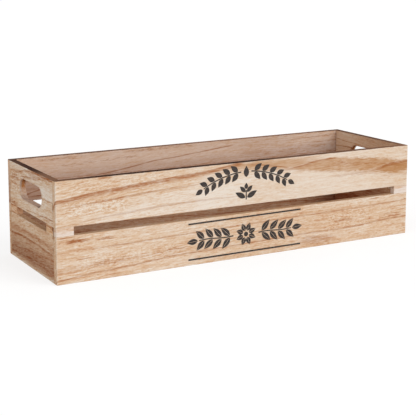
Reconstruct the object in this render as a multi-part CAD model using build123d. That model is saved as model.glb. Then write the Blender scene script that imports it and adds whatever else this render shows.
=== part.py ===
from build123d import *
import os

# A long planter crate of thin pale boards, standing on its bottom edges.
# Millimetres, +Z up, X along the length, the front face towards -Y.
# The origin is on the ground, under the middle of the crate.

# Outer size on the ground
crate_length = 500.0
crate_width = 160.0

# Boards: every wall is a lower board, an open slot and an upper board
board_thickness = 8.0
lower_board_height = 56.0
slot_height = 10.0
upper_board_height = 54.0

# Length of the spacer blocks that close a slot at both its ends
spacer_length = 22.0

# Hand holes with round ends, one in the upper board of each end
handle_width = 74.0
handle_height = 24.0
handle_below_middle = 1.0

# Base panel, held between the four lower boards
base_thickness = 6.0
base_lift = 3.0
base_clearance = 0.2

# Sanding of the sharp edges
corner_round = 1.5
rim_round = 0.8
inner_rim_ease = 0.6
slot_ease = 0.5
handle_round = 1.0

# Brads with flat heads, driven through the boards and set just under the face
brad_length = 20.0
brad_width = 1.3
brad_thickness = 1.0
brad_head_width = 2.0
brad_head_depth = 0.7
brad_set = 0.3
corner_brad_from_edge = 8.0
base_brad_from_corner = 50.0
base_brad_pitch = 130.0

# Places that follow from the sizes above
half_length = crate_length / 2
half_width = crate_width / 2
inner_length = crate_length - 2 * board_thickness
inner_width = crate_width - 2 * board_thickness
upper_board_bottom = lower_board_height + slot_height
crate_height = upper_board_bottom + upper_board_height
handle_centre = upper_board_bottom + upper_board_height / 2 - handle_below_middle
base_top = base_lift + base_thickness
long_walls = ("front", "back")
end_walls = ("left_end", "right_end")


def block(x_range, y_range, z_range):
    """A square-edged piece of wood between the given planes."""
    low, high = zip(x_range, y_range, z_range)
    size = [b - a for a, b in zip(low, high)]
    return Pos(*low) * Box(*size, align=(Align.MIN, Align.MIN, Align.MIN))


def sanded_outside():
    """The crate's outer form, with its corners and edges sanded round."""
    form = block((-half_length, half_length), (-half_width, half_width), (0, crate_height))
    form = fillet(form.edges().filter_by(Axis.Z), corner_round)
    levels = form.edges().group_by(Axis.Z)
    return fillet(levels[0] + levels[-1], rim_round)


def sanded_inner_rim():
    """The cut that eases the inner edge of the rim."""
    start = Plane.XY.offset(crate_height - inner_rim_ease)
    return extrude(start * Rectangle(inner_length, inner_width), amount=inner_rim_ease, taper=-45)


def wall_place(wall):
    """The middle of a wall's outer face on the ground: local X runs along the wall, Y up, Z out."""
    planes = {
        "front": Plane(origin=(0, -half_width, 0), x_dir=(1, 0, 0), z_dir=(0, -1, 0)),
        "back": Plane(origin=(0, half_width, 0), x_dir=(-1, 0, 0), z_dir=(0, 1, 0)),
        "left_end": Plane(origin=(-half_length, 0, 0), x_dir=(0, -1, 0), z_dir=(-1, 0, 0)),
        "right_end": Plane(origin=(half_length, 0, 0), x_dir=(0, 1, 0), z_dir=(1, 0, 0)),
    }
    return planes[wall].location


def sanded_slot(wall):
    """The cuts that ease the edges of a wall's slot, on its outer and its inner face."""
    wall_length = crate_length if wall in long_walls else inner_width
    slot_length = wall_length - 2 * spacer_length
    mouth = Rectangle(slot_length + 2 * slot_ease, slot_height + 2 * slot_ease)
    outer = extrude(mouth, amount=-slot_ease, taper=45)
    inner = Pos(0, 0, -board_thickness) * mirror(outer, Plane.XY)
    slot_middle = lower_board_height + slot_height / 2
    return [wall_place(wall) * Pos(0, slot_middle) * mouth_cut for mouth_cut in (outer, inner)]


def t_profile(head_top):
    """The outline of a flat-headed brad, its shank pointing down from a head that ends at head_top."""
    neck = -brad_set - brad_head_depth
    tip = -brad_set - brad_length
    half_head, half_shank = brad_head_width / 2, brad_width / 2
    right_side = [(half_head, head_top), (half_head, neck), (half_shank, neck), (half_shank, tip)]
    left_side = [(-x, y) for x, y in reversed(right_side)]
    return Plane.XZ * make_face(Polyline(*right_side, *left_side, close=True))


def brad():
    """A brad whose head lies just under the face at its local origin."""
    return extrude(t_profile(-brad_set), amount=brad_thickness / 2, both=True)


def brad_hole():
    """The hole that a brad leaves, open at the face."""
    return extrude(t_profile(0), amount=brad_thickness / 2, both=True)


def corner_brad_places(wall, end):
    """Brads through a long wall into the end boards; end is -1 or 1 along the wall."""
    along = end * (half_length - board_thickness / 2)
    heights = [
        corner_brad_from_edge,
        lower_board_height - corner_brad_from_edge,
        upper_board_bottom + corner_brad_from_edge,
        crate_height - corner_brad_from_edge,
    ]
    return [wall_place(wall) * Pos(along, height) for height in heights]


def base_brad_places(wall):
    """Brads through a lower board into the edge of the base panel, in even gaps of about the pitch."""
    span = (crate_length if wall in long_walls else crate_width) - 2 * base_brad_from_corner
    gaps = max(1, round(span / base_brad_pitch))
    spots = [span * (i / gaps - 0.5) for i in range(gaps + 1)]
    return [wall_place(wall) * Pos(along, (base_lift + base_top) / 2) for along in spots]


brad_places = {
    "front_left_brads": corner_brad_places("front", -1),
    "front_right_brads": corner_brad_places("front", 1),
    "back_left_brads": corner_brad_places("back", 1),
    "back_right_brads": corner_brad_places("back", -1),
    "base_front_brads": base_brad_places("front"),
    "base_back_brads": base_brad_places("back"),
    "base_left_brads": base_brad_places("left_end"),
    "base_right_brads": base_brad_places("right_end"),
}


def brad_holes(side):
    """The holes of every group of brads that is named after a side of the crate, or after its base."""
    hole = brad_hole()
    groups = [places for name, places in brad_places.items() if side in name]
    return [place * hole for places in groups for place in places]


def wall_ranges(wall):
    """The X and Y extents of a wall: the long walls lap over the ends."""
    ranges = {
        "front": ((-half_length, half_length), (-half_width, -inner_width / 2)),
        "back": ((-half_length, half_length), (inner_width / 2, half_width)),
        "left_end": ((-half_length, -inner_length / 2), (-inner_width / 2, inner_width / 2)),
        "right_end": ((inner_length / 2, half_length), (-inner_width / 2, inner_width / 2)),
    }
    return ranges[wall]


def lower_board(wall):
    """The lower board of a wall."""
    board = block(*wall_ranges(wall), (0, lower_board_height)) & outside
    return board - sanded_slot(wall) - brad_holes(wall.removesuffix("_end"))


def hand_hole(wall, board):
    """The board with its hand hole, whose edges are rounded on both faces."""
    outline = wall_place(wall) * Pos(0, handle_centre) * SlotOverall(handle_width, handle_height)
    cut = board - extrude(outline, amount=-board_thickness)
    mouths = new_edges(board, combined=cut).filter_by(Axis.X, reverse=True)
    return fillet(mouths, handle_round)


def upper_board(wall):
    """The upper board of a wall; those of the ends hold the hand holes."""
    board = block(*wall_ranges(wall), (upper_board_bottom, crate_height))
    if wall in end_walls:
        board = hand_hole(wall, board)
    board = (board & outside) - inner_rim - sanded_slot(wall)
    return board - brad_holes(wall.removesuffix("_end"))


def spacer(wall, end):
    """A block in a wall's slot, between its two boards; end is -1 or 1 along the wall."""
    x_range, y_range = wall_ranges(wall)
    if wall in long_walls:
        x_range = sorted((end * half_length, end * (half_length - spacer_length)))
    else:
        y_range = sorted((end * inner_width / 2, end * (inner_width / 2 - spacer_length)))
    piece = block(x_range, y_range, (lower_board_height, upper_board_bottom))
    return (piece & outside) - sanded_slot(wall)


def base_panel():
    """The panel that closes the bottom, raised a little from the ground."""
    half_x = inner_length / 2 - base_clearance
    half_y = inner_width / 2 - base_clearance
    return block((-half_x, half_x), (-half_y, half_y), (base_lift, base_top)) - brad_holes("base")


def brads(places):
    """A group of separate brads."""
    one = brad()
    return Compound(children=[place * one for place in places])


outside = sanded_outside()
inner_rim = sanded_inner_rim()
pieces = {"base_panel": base_panel()}
for wall in long_walls + end_walls:
    pieces[f"{wall}_lower_board"] = lower_board(wall)
    pieces[f"{wall}_upper_board"] = upper_board(wall)
for wall in long_walls:
    pieces[f"{wall}_spacer_left"] = spacer(wall, -1)
    pieces[f"{wall}_spacer_right"] = spacer(wall, 1)
for wall in end_walls:
    pieces[f"{wall}_spacer_front"] = spacer(wall, -1)
    pieces[f"{wall}_spacer_back"] = spacer(wall, 1)
for name, places in brad_places.items():
    pieces[name] = brads(places)

os.makedirs("parts", exist_ok=True)
for name, piece in pieces.items():
    piece.label = name
    export_step(piece, f"parts/{name}.step")
    print(name, len(piece.solids()), round(piece.volume))
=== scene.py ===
import random
from collections import namedtuple
from math import atan2, cos, pi, radians, sin

import bmesh
import bpy
from mathutils import Color, Euler, Matrix, Vector


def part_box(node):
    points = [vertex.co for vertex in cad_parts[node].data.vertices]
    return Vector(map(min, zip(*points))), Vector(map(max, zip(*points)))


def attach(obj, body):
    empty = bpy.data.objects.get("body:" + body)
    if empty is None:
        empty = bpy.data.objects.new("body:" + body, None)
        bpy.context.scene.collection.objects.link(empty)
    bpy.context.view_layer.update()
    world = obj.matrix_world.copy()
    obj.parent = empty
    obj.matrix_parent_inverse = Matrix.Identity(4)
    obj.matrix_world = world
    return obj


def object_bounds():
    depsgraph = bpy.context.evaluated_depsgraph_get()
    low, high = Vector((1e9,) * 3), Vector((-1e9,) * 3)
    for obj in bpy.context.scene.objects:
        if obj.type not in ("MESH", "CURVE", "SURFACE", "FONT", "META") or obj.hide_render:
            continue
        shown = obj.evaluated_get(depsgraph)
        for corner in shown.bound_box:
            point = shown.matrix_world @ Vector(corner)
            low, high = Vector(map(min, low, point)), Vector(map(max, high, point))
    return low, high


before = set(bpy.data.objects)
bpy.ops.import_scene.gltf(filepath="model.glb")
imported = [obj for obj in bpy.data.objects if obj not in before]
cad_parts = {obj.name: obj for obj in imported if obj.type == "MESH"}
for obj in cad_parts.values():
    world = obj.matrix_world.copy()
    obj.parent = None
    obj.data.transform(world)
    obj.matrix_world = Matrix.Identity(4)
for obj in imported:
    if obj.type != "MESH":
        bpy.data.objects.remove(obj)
cad_low, cad_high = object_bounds()

bl_info = {
    "name": "Planter crate",
    "version": (1, 0, 0),
    "blender": (4, 5, 0),
    "location": "3D View > Sidebar > Crate",
    "description": "Finishes the boards of a long wooden planter crate, prints its front and lights it",
    "category": "Object",
}

# Metres in a millimetre. Patterns and prints are written in millimetres, because boards are measured in them.
MM = 0.001

# Sizes read from the frame, in millimetres. Places are measured from the crate's left end, its front face and
# the ground.
LENGTH = (cad_high.x - cad_low.x) / MM
WIDTH = (cad_high.y - cad_low.y) / MM
HEIGHT = (cad_high.z - cad_low.z) / MM
HALF_LENGTH = LENGTH / 2
HALF_WIDTH = WIDTH / 2
front_low, front_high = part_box("front_upper_board")
THICKNESS = (front_high.y - front_low.y) / MM
SLOT_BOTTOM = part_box("front_lower_board")[1].z / MM
SLOT_TOP = front_low.z / MM

# The hand holes: their middle above the ground, the radius of their round ends, and half their straight part
HAND_HOLE_HEIGHT = 92.0
HAND_HOLE_RADIUS = 12.0
HAND_HOLE_STRAIGHT = 25.0


def shade(hex_code):
    """A colour as it is seen on a screen, from its usual code, as three numbers from 0 to 1."""
    return tuple(int(hex_code[i : i + 2], 16) / 255 for i in (1, 3, 5))


def paint(colour):
    """A screen colour as a shader takes it."""
    return (*Color(colour[:3]).from_srgb_to_scene_linear(), 1.0)


def swatch(name, description, hex_code):
    """A colour that a user may change."""
    return bpy.props.FloatVectorProperty(
        name=name, description=description, subtype="COLOR_GAMMA", min=0, max=1, default=shade(hex_code)
    )


def number(name, description, low, high, default, **kind):
    """A number that a user may change."""
    return bpy.props.FloatProperty(
        name=name, description=description, min=low, max=high, default=default, **kind
    )


class WoodSettings(bpy.types.PropertyGroup):
    """Colours and finish of the boards."""

    pale: swatch("Pale wood", "The palest wood between two growth lines", "#ecdfd1")
    tan: swatch("Tan wood", "The warmer wood that most of a board shows", "#ddbd9d")
    stroke: swatch("Stroke", "The red tan of the fine strokes along the grain", "#c0825a")
    honey: swatch("Honey wood", "The orange tan of a broad growth band", "#c39466")
    growth_line: swatch("Growth line", "The red brown of a growth line at its dark edge", "#9f5c31")
    heart: swatch("Heartwood stain", "What darkens the boards cut near the heart of the tree", "#bca39a")
    # The heart stain also darkens the inner faces, by each board's inside amounts, as painted shade of the
    # inside of the crate.
    end_grain: swatch("End grain stain", "What darkens the sawn ends of the long boards", "#f9f3ec")
    inside: swatch("Inside stain", "What dulls the faces inside the crate", "#f8fbff")
    # Painted shade: the inside stain darkens and dulls every inner face for the dimmer light inside the
    # crate.
    slot_face_shade: swatch("Slot stain", "What dulls the narrow faces of the slots", "#d6c8bb")
    # Painted shade: the slot stain darkens the narrow faces of the slots for the shadow of the boards over
    # them.
    seam: swatch("Seam", "The brown of glue and dust in a joint", "#76431f")
    hole_wall: swatch("Hole wall", "The dull brown of the walls of a hand hole", "#a38474")
    singe: swatch("Singe", "The burnt orange at the back end of a hand hole", "#b4733a")
    toast: swatch("Toasted edge", "The brown of the rim where it was scorched least", "#946e57")
    scorch: swatch("Scorched edge", "The dark brown of the rim where it was scorched most", "#382a28")
    figure: number(
        "Figure", "How strongly the streaks and flecks of the wood show", 0, 2, 1.0, subtype="FACTOR"
    )
    roughness: number("Roughness", "How matte the sanded wood is", 0, 1, 0.72, subtype="FACTOR")


class BradSettings(bpy.types.PropertyGroup):
    """The colours of the brads."""

    steel: swatch("Brad", "The steel of a brad, tinted like the wood", "#cfad8c")
    tarnish: swatch("Tarnish", "The dull stain on a brad", "#b8906c")


class PrintSettings(bpy.types.PropertyGroup):
    """The dark print on the front."""

    ink: swatch("Ink", "The near black of the print", "#332d2b")
    worn_ink: swatch("Worn ink", "The ink where the grain shows through it", "#5c4c42")
    film: number("Film", "How far the ink stands proud of the wood", 0, MM, 0.08 * MM, unit="LENGTH")
    rule: number("Rule", "The width of the two thin rules", 0.2 * MM, 5 * MM, 2 * MM, unit="LENGTH")


class StageSettings(bpy.types.PropertyGroup):
    """The plain studio round the crate."""

    key: number("Key light", "Strength of the soft light from the front and the right", 0, 20, 1.32)
    fill: number("Fill light", "Strength of the soft light from the left", 0, 20, 0.36)
    sky: number("Room light", "Strength of the even light from all round", 0, 5, 0.62)


def arithmetic(operation):
    """The two methods of an operation, for a value on its left side and for one on its right."""

    def left(self, other):
        return self.pattern.math(operation, self, other)

    def right(self, other):
        return self.pattern.math(operation, other, self)

    return left, right


class Value:
    """What a shader node puts out. The sums, differences and products of values become nodes too."""

    __add__, __radd__ = arithmetic("ADD")
    __sub__, __rsub__ = arithmetic("SUBTRACT")
    __mul__, __rmul__ = arithmetic("MULTIPLY")

    def __init__(self, pattern, socket):
        self.pattern = pattern
        self.socket = socket

    def __abs__(self):
        return self.pattern.math("ABSOLUTE", self)


class Pattern:
    """A tree of shader nodes. Its methods add nodes and give back what these put out."""

    COLUMN_WIDTH = 190
    ROW_HEIGHT = 230
    COLUMNS = 14
    # The inputs of a Mix node that mixes colours, and its output
    MIX_INPUTS = (0, 6, 7)
    MIX_RESULT = 2
    NOISE_ROUGHNESS = 0.55

    def __init__(self, tree):
        self.tree = tree

    def node(self, kind, **settings):
        row, column = divmod(len(self.tree.nodes), self.COLUMNS)
        made = self.tree.nodes.new(kind)
        made.location = (column * self.COLUMN_WIDTH, -row * self.ROW_HEIGHT)
        for name, value in settings.items():
            setattr(made, name, value)
        return made

    def feed(self, socket, source):
        """Links a socket to what another node puts out, or gives it a plain value."""
        if isinstance(source, Value):
            self.tree.links.new(source.socket, socket)
        else:
            socket.default_value = source

    def value(self, kind, sources, output=0, **settings):
        """Adds a node, feeds its named or numbered inputs, and gives one of the things that it puts out."""
        made = self.node(kind, **settings)
        for name, source in sources.items():
            self.feed(made.inputs[name], source)
        return Value(self, made.outputs[output])

    def results(self, made):
        """All that a node puts out, by name."""
        return {socket.name: Value(self, socket) for socket in made.outputs}

    def math(self, operation, *sources, clamp=False):
        return self.value("ShaderNodeMath", dict(enumerate(sources)), operation=operation, use_clamp=clamp)

    def larger(self, a, b):
        return self.math("MAXIMUM", a, b)

    def smaller(self, a, b):
        return self.math("MINIMUM", a, b)

    def share(self, a, b):
        """The product of two values, kept between 0 and 1."""
        return self.math("MULTIPLY", a, b, clamp=True)

    def spread(self, value, amount):
        """A value from 0 to 1 made to run from minus to plus half of an amount."""
        return (value - 0.5) * amount

    def smooth(self, value, low, high, at_low=0.0, at_high=1.0):
        """Runs smoothly from one value to another while the input runs from low to high."""
        names = ("Value", "From Min", "From Max", "To Min", "To Max")
        sources = dict(zip(names, (value, low, high, at_low, at_high)))
        return self.value("ShaderNodeMapRange", sources, interpolation_type="SMOOTHSTEP")

    def fall(self, value, low, high):
        """Falls smoothly from 1 to 0 while the input runs from low to high."""
        return self.smooth(value, low, high, 1.0, 0.0)

    def between(self, value, low, high, margin):
        """1 between low and high, and paler over a margin inside each."""
        return self.smooth(value, low, low + margin) * self.fall(value, high - margin, high)

    def run(self, place, full_place, points, full):
        """A value that follows a smooth curve through points (place, value), or one that stays the same."""
        if isinstance(points, (int, float)):
            return points
        made = self.node("ShaderNodeFloatCurve")
        knots = made.mapping.curves[0].points
        spots = [(there / full_place, value / full) for there, value in points]
        knots[0].location = spots[0]
        knots[1].location = spots[-1]
        for spot in spots[1:-1]:
            knots.new(*spot)
        made.mapping.update()
        self.feed(made.inputs["Value"], place * (1 / full_place))
        return Value(self, made.outputs["Value"]) * full

    def vector(self, x, y, z):
        return self.value("ShaderNodeCombineXYZ", {0: x, 1: y, 2: z})

    def times(self, vector, factors):
        return self.value("ShaderNodeVectorMath", {0: vector, 1: factors}, operation="MULTIPLY")

    def noise(self, vector, detail=2.0, distortion=0.0):
        sources = {"Vector": vector, "Scale": 1.0, "Detail": detail, "Distortion": distortion}
        return self.value("ShaderNodeTexNoise", {**sources, "Roughness": self.NOISE_ROUGHNESS})

    def mix(self, factor, a, b, blend="MIX"):
        sources = dict(zip(self.MIX_INPUTS, (factor, a, b)))
        return self.value("ShaderNodeMix", sources, self.MIX_RESULT, data_type="RGBA", blend_type=blend)

    def ramp(self, value, stops):
        """Colours along a value from 0 to 1."""
        made = self.node("ShaderNodeValToRGB")
        colours = made.color_ramp.elements
        colours[0].position, colours[0].color = stops[0]
        colours[1].position, colours[1].color = stops[-1]
        for position, colour in stops[1:-1]:
            colours.new(position).color = colour
        self.feed(made.inputs["Fac"], value)
        return Value(self, made.outputs["Color"])

    def group(self, make, name, **sources):
        """Adds a shared node group, made once, whose inputs are given by their names in small letters."""
        tree = bpy.data.node_groups.get(name) or make(name)
        made = self.node("ShaderNodeGroup", node_tree=tree)
        for source_name, source in sources.items():
            self.feed(made.inputs[source_name.capitalize()], source)
        return list(self.results(made).values())

    def marks(self, grain):
        """The fine patterns of the wood at a place in its grain."""
        return self.group(fibre_group, "Paulownia fibre", grain=grain)

    def place(self):
        """The place on a piece in millimetres, from the crate's left end, front face and ground."""
        on_piece = self.times(self.value("ShaderNodeTexCoord", {}, "Object"), (1 / MM, 1 / MM, 1 / MM))
        apart = self.node("ShaderNodeSeparateXYZ")
        self.feed(apart.inputs[0], on_piece)
        x, y, z = self.results(apart).values()
        return x + HALF_LENGTH, y + HALF_WIDTH, z


# A fine pattern of the wood: how long its marks are along the board, into it and across it, in millimetres,
# how much detail and twist they have, and the noise values that become 0 and 1. A ridge is a thin line
# between a high and a low of the noise.
Mark = namedtuple("Mark", "name along inward across detail twist low high ridge", defaults=(False,))
MARKS = (
    Mark("Fibre", 18, 1.8, 1.0, 3, 0.0, 0.30, 0.70),
    Mark("Streak", 11, 4.0, 1.6, 2, 0.5, 0.32, 0.68),
    Mark("Thread", 38, 5.0, 3.3, 2, 0.5, 0.05, 0.0, ridge=True),
    Mark("Fleck", 3.6, 3.0, 1.5, 1, 0.8, 0.32, 0.68),
    Mark("Pore", 8, 0.5, 0.45, 1, 0.0, 0.60, 0.70),
    Mark("Cloud", 80, 14, 11, 2, 0.5, 0.32, 0.68),
    Mark("Jag", 9, 6.0, 1.8, 3, 0.0, 0.30, 0.70),
)


def new_group(name, kind, inputs, outputs):
    """A node group with inputs of one kind. Gives its pattern, what goes in, and where its results go."""
    tree = bpy.data.node_groups.new(name, "ShaderNodeTree")
    for socket in inputs:
        tree.interface.new_socket(socket, in_out="INPUT", socket_type=kind)
    for socket in outputs:
        tree.interface.new_socket(socket, in_out="OUTPUT", socket_type="NodeSocketFloat")
    p = Pattern(tree)
    given = p.node("NodeGroupInput").outputs[: len(inputs)]
    return p, [Value(p, socket) for socket in given], p.node("NodeGroupOutput").inputs


def fibre_group(name):
    """Fine patterns of the wood. Grain is in millimetres: along the board, into it and across it."""
    p, (grain,), results = new_group(name, "NodeSocketVector", ["Grain"], [mark.name for mark in MARKS])
    for mark in MARKS:
        scaled = p.times(grain, (1 / mark.along, 1 / mark.inward, 1 / mark.across))
        value = p.noise(scaled, detail=mark.detail, distortion=mark.twist)
        if mark.ridge:
            value = abs(value - 0.5)
        p.feed(results[mark.name], p.smooth(value, mark.low, mark.high))
    return p.tree


def growth_line_group(name):
    """One growth line: a dark core, then wood that pales below it. All in millimetres."""
    names = "Along Across Height Drop Feather Edge Core Body Start End Taper Depth".split()
    p, given, results = new_group(name, "NodeSocketFloat", names, ["Darkness"])
    along, across, height, drop, feather, edge, width, body, start, end, taper, depth = given
    below = height + width * 0.5 - across
    rise = p.smooth(below, edge * -1.0, edge)
    core = p.fall(below, width, width * 1.6 + 0.4)
    pales = p.fall(below, drop - feather, drop) * body
    shown = rise * p.larger(core, pales) * p.between(along, start, end, taper) * depth
    p.feed(results["Darkness"], shown)
    return p.tree


# A growth line. Its dark core runs through points (along the board, height), is as dark as its depth and core
# millimetres wide. Below it, the body is a share as dark and ends drop millimetres down, or at the foot,
# which is points too, and it pales over the last feather millimetres. The upper edge is blurred over edge
# and wanders by ragged. The line shows from start to end and tapers off there.
Line = namedtuple(
    "Line",
    "points depth core body drop foot feather edge ragged start end taper",
    defaults=(0.5, 0.8, 0.35, 3.0, None, None, 0.4, 0.3, -40.0, LENGTH + 40.0, 16.0),
)


def zone(points, edge=2, ragged=3, **look):
    """A zone of darker, honey coloured or pale wood: a growth line that has no core."""
    return Line(points, core=0, body=1, edge=edge, ragged=ragged, **look)


# A place on a board where the grain curls into short flecks
Curl = namedtuple("Curl", "start end bottom top strength")

# How a board is cut and coloured. bend is the sweep of its grain. warmth is how tan it is along it, and
# layers adds to that up it. heart is how much of the heart stain it takes up it, and inside how much of that
# stain its inner face takes along it, which is painted shade of the inside of the crate. tint colours all of
# it.
# Its lines are dark, its bands are honey coloured, its pales are zones of pale wood, and its curls are curly
# places. figure is how much its fine marks show along it, slant how far its lines climb per millimetre into
# the board, and seed which part of a plank it is cut from. joint is how dark its corner joints are up it,
# burn how burnt the back end of its hand hole is, and rim how scorched its top edge is along it. What says
# along or up is a number, or points (place, value).
Board = namedtuple(
    "Board",
    "node bend warmth layers heart inside tint lines bands pales curls figure slant seed joint burn rim",
    defaults=(20.0, 0.4, 0.0, 0.0, 0.0, "#ffffff", (), (), (), (), 1.0, -1.2, 0, 0.12, 0.4, 0.0),
)


class BoardPattern(Pattern):
    """The wood of one board. Places and widths are in millimetres. Weights and shares have no unit."""

    SEED_STEP = 37.0
    # How much lighter or darker the fine patterns make the wood, and how much darker the threads do
    WEIGHTS = {"cloud": 0.12, "streak": 0.2, "fibre": 0.27, "fleck": 0.17}
    THREAD_WEIGHT = 0.26
    # How much darker lines, pores, and pores in a line are, and how much paler the worn and highlit corners
    # and pale zones are
    LINE_WEIGHT = 0.3
    PORE_WEIGHT = 0.14
    PORE_IN_LINE_WEIGHT = 0.25
    WEAR_AND_HIGHLIGHT_WEIGHT = 0.2
    PALE_WEIGHT = 0.5
    # A curly place fades out over this much along the board and across its grain
    CURL_MARGIN_ALONG = 14.0
    CURL_MARGIN_ACROSS = 4.0
    # From the upright corners of the crate, along a board and into it: paled most by sanding wear and a
    # painted highlight, and not paled
    WEAR_AND_HIGHLIGHT_ALONG = (0.4, 2.2)
    WEAR_AND_HIGHLIGHT_INWARD = (1.0, 2.0)
    # The inner face, into the board, and the narrow face at a slot, away from the slot
    INNER_FACE = (THICKNESS - 0.7, THICKNESS - 0.2)
    SLOT_FACE = (0.1, 0.4)
    # How much a surface has to face along the crate to be end grain
    END_GRAIN = (0.6, 0.8)
    # From a joint: how far its seam is darkest, how far a faint one reaches, and how much further a dark one
    SEAM_START = 0.2
    SEAM_WIDTH = 0.9
    SEAM_SPREAD = 4.5
    # How dark each seam is on the inner face at the least
    INNER_SEAM = 0.3
    # From the outline of the hand hole: its wall, and the darker wood round it
    HOLE_WALL = (0.15, 0.95)
    HOLE_HALO = (0.6, 4.0)
    # Back from the middle of the hand hole: its back end begins and is full, its front end is full and ends
    BACK_END = (HAND_HOLE_STRAIGHT - 4, HAND_HOLE_STRAIGHT + 4)
    FRONT_END = (-HAND_HOLE_STRAIGHT - 1, 4 - HAND_HOLE_STRAIGHT)
    # Up from its middle: the bare wood and the singe at the back end, and the soot at the front end
    BARE_UP = (-11.0, -7.0)
    SINGED_UP = (-6.0, 2.0)
    SOOT_UP = (-8.0, -4.0)
    # Into the board: where the singed middle of the hole's wall starts, and where it pales
    SINGED_INWARD = (1.2, 3.2)
    SINGED_PALES = (5.4, 6.8)
    # At burn 0, the wood is burnt where up and inward add up to the first, and fully this much further on
    BURN_SPARED = 14.0
    BURN_GROWS = 7.0
    # Down from the top edge of the crate: where the scorching starts, and where it is full
    SCORCH_START = 0.65
    SCORCH_FULL = 0.25

    def __init__(self, tree, board, wood):
        super().__init__(tree)
        self.board = board
        self.wood = wood
        self.is_end = "_end_" in board.node
        self.length = WIDTH if self.is_end else LENGTH
        self.along, self.inward, self.height = self.grain()
        self.across = self.height - self.inward * board.slant
        sweep = self.run_along(board.bend, HEIGHT)
        shift = self.SEED_STEP * board.seed
        marks = self.marks(self.vector(self.along + shift, self.inward + shift, self.across - sweep))
        self.fibre, self.streak, self.thread, self.fleck, self.pore, self.cloud, self.jag = marks

    def grain(self):
        """The place on the board in millimetres: along it, into it from its outer face, and its height."""
        from_left, from_front, height = self.place()
        node = self.board.node
        if node == "base_panel":
            return from_left, height, from_front
        if node.startswith("left_end"):
            return from_front, from_left, height
        if node.startswith("right_end"):
            return from_front, LENGTH - from_left, height
        if node.startswith("back"):
            return from_left, WIDTH - from_front, height
        return from_left, from_front, height

    def run_along(self, points, full=1.0):
        return self.run(self.along, self.length, points, full)

    def run_up(self, points, full=1.0):
        return self.run(self.height, HEIGHT, points, full)

    def line(self, line):
        """How dark one growth line makes the wood."""
        top = self.run_along(line.points, HEIGHT)
        plain = "edge core body start end taper depth".split()
        return self.group(
            growth_line_group,
            "Growth line",
            along=self.along,
            across=self.across + self.spread(self.jag, line.ragged),
            height=top,
            drop=top - self.run_along(line.foot, HEIGHT) if line.foot else line.drop,
            feather=line.feather or line.drop,
            **{name: getattr(line, name) for name in plain},
        )[0]

    def strongest(self, lines, low=0.62, high=1.15):
        """How much all these lines or zones together show, broken up by the fibres."""
        if not lines:
            return 0.0
        total = 0.0
        for line in lines:
            total = self.larger(total, self.line(line))
        return self.share(total, self.smooth(self.streak + self.fibre, 0.2, 1.8, low, high))

    def curl(self, curl):
        """The light and dark flecks of a curly place."""
        along = self.between(self.along, curl.start, curl.end, self.CURL_MARGIN_ALONG)
        up = self.between(self.across, curl.bottom, curl.top, self.CURL_MARGIN_ACROSS)
        return self.spread(self.fleck, curl.strength) * along * up

    def wear_and_highlight(self):
        """1 at the two upright corners, where sanding left the wood paler and a highlight along the rounded
        corner is painted.
        """
        if self.is_end:
            return 0.0
        from_end = self.smaller(self.along, self.length - self.along)
        return self.fall(from_end, *self.WEAR_AND_HIGHLIGHT_ALONG) * self.fall(self.inward, *self.WEAR_AND_HIGHLIGHT_INWARD)

    def tone(self, darkness):
        """0 for pale wood, 0.45 for tan wood and 1 for a dark stroke."""
        board = self.board
        marks = self.thread * self.THREAD_WEIGHT
        for name, weight in self.WEIGHTS.items():
            marks = marks + self.spread(getattr(self, name), weight)
        tone = (
            self.run_along(board.warmth)
            + self.run_up(board.layers)
            + marks * self.run_along(board.figure) * self.wood.figure
            + darkness * self.LINE_WEIGHT
            - self.wear_and_highlight() * self.WEAR_AND_HIGHLIGHT_WEIGHT
            - self.strongest(board.pales) * self.PALE_WEIGHT
            + self.pore * (darkness * self.PORE_IN_LINE_WEIGHT + self.PORE_WEIGHT)
        )
        for curl in board.curls:
            tone = tone + self.curl(curl)
        return tone

    def on_inner_face(self):
        return self.smooth(self.inward, *self.INNER_FACE)

    def on_end_grain(self):
        """1 on the sawn ends of a long board."""
        if self.is_end:
            return 0.0
        apart = self.node("ShaderNodeSeparateXYZ")
        self.feed(apart.inputs[0], self.value("ShaderNodeNewGeometry", {}, "Normal"))
        return self.smooth(abs(self.results(apart)["X"]), *self.END_GRAIN)

    def on_slot_face(self):
        """1 on the narrow face of a board that looks into a slot."""
        if "spacer" in self.board.node or self.board.node == "base_panel":
            return 0.0
        full, gone = self.SLOT_FACE
        if "upper" in self.board.node:
            return self.fall(self.height, SLOT_TOP + full, SLOT_TOP + gone)
        return self.smooth(self.height, SLOT_BOTTOM - gone, SLOT_BOTTOM - full)

    def seams(self):
        """How dark the joints at the corners of the crate are."""
        from_joint = self.smaller(abs(self.along - THICKNESS), abs(self.along - (self.length - THICKNESS)))
        dark = self.run_up(self.board.joint)
        reach = self.math("MULTIPLY_ADD", dark, self.SEAM_SPREAD, self.SEAM_WIDTH)
        here = self.fall(from_joint, self.SEAM_START, reach)
        inner = self.on_inner_face()
        if not self.is_end:
            outer = self.on_end_grain() * self.fall(THICKNESS - self.inward, self.SEAM_START, reach)
            here = here * inner + outer
        return here * self.larger(dark, inner * self.INNER_SEAM)

    def hand_hole(self):
        """How far a point lies from the outline of the hand hole, and how far back and up from its middle."""
        back = self.along - HALF_WIDTH
        up = self.height - HAND_HOLE_HEIGHT
        past_straight = self.larger(abs(back) - HAND_HOLE_STRAIGHT, 0.0)
        from_middle = self.math("SQRT", past_straight * past_straight + up * up)
        return from_middle - HAND_HOLE_RADIUS, back, up

    def stain(self, colour, share, over, blend="MIX"):
        """A colour with a share of a screen colour over it."""
        return self.mix(share, colour, paint(over), blend)

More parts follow.
